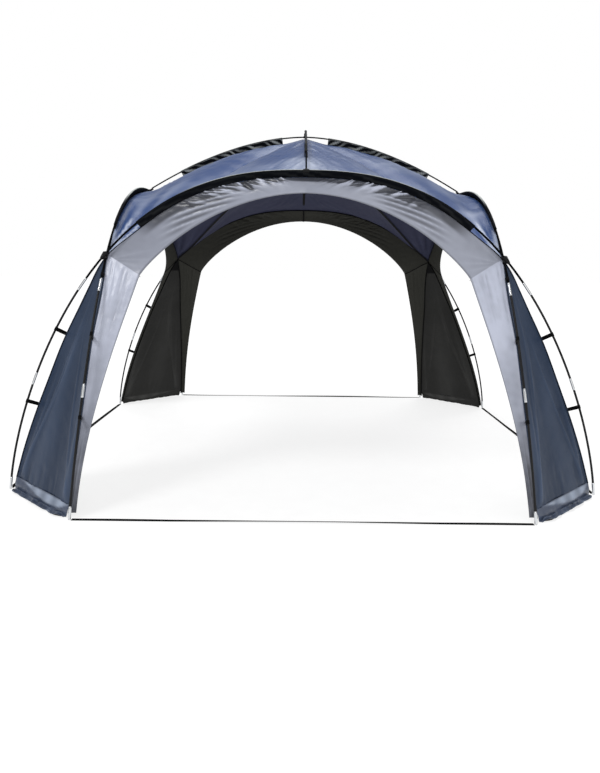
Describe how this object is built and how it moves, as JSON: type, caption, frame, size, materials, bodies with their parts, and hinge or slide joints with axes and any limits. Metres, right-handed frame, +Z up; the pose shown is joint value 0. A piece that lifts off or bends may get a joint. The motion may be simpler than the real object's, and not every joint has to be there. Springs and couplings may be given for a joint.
{
  "type": "dome gazebo",
  "caption": "Square dome gazebo with crossing arch poles, a domed fabric roof, four arched open doorways and fabric corner legs.",
  "frame": {"origin": "on the ground, straight under the crown", "axes": "+Z up; the front doorway, the one nearest the camera, looks towards -Y; +X is the viewer's right"},
  "size_m": [3.526, 3.526, 2.3165],
  "materials": {
    "steel": "satin",
    "pole": "satin",
    "sleeve": "matte",
    "webbing": "matte",
    "roof_cloth": "satin",
    "door_cloth": "satin",
    "corner_cloth": "satin",
    "fitting": "matte"
  },
  "bodies": {
    "root": {"back_arch_left_leg": "steel", "back_arch_pole": "pole", "back_arch_right_leg": "steel", "back_arch_sleeve": "sleeve", "back_arch_socket": "fitting", "back_door_surround": "door_cloth", "back_ground_strap": "webbing", "back_left_clip": "fitting", "back_left_corner_panel": "corner_cloth", "back_right_clip": "fitting", "back_right_corner_panel": "corner_cloth", "back_roof_panel": "roof_cloth", "back_roof_sleeve": "sleeve", "crown_hub": "fitting", "front_arch_left_leg": "steel", "front_arch_pole": "pole", "front_arch_right_leg": "steel", "front_arch_sleeve": "sleeve", "front_arch_socket": "fitting", "front_door_surround": "door_cloth", "front_ground_strap": "webbing", "front_left_clip": "fitting", "front_left_corner_panel": "corner_cloth", "front_right_clip": "fitting", "front_right_corner_panel": "corner_cloth", "front_roof_panel": "roof_cloth", "front_roof_sleeve": "sleeve", "left_arch_left_leg": "steel", "left_arch_pole": "pole", "left_arch_right_leg": "steel", "left_arch_sleeve": "sleeve", "left_arch_socket": "fitting", "left_door_surround": "door_cloth", "left_ground_strap": "webbing", "left_roof_panel": "roof_cloth", "left_roof_sleeve": "sleeve", "right_arch_left_leg": "steel", "right_arch_pole": "pole", "right_arch_right_leg": "steel", "right_arch_sleeve": "sleeve", "right_arch_socket": "fitting", "right_door_surround": "door_cloth", "right_ground_strap": "webbing", "right_roof_panel": "roof_cloth", "right_roof_sleeve": "sleeve", "roof_pole_front_back": "pole", "roof_pole_left_right": "pole"}
  },
  "joints": []
}
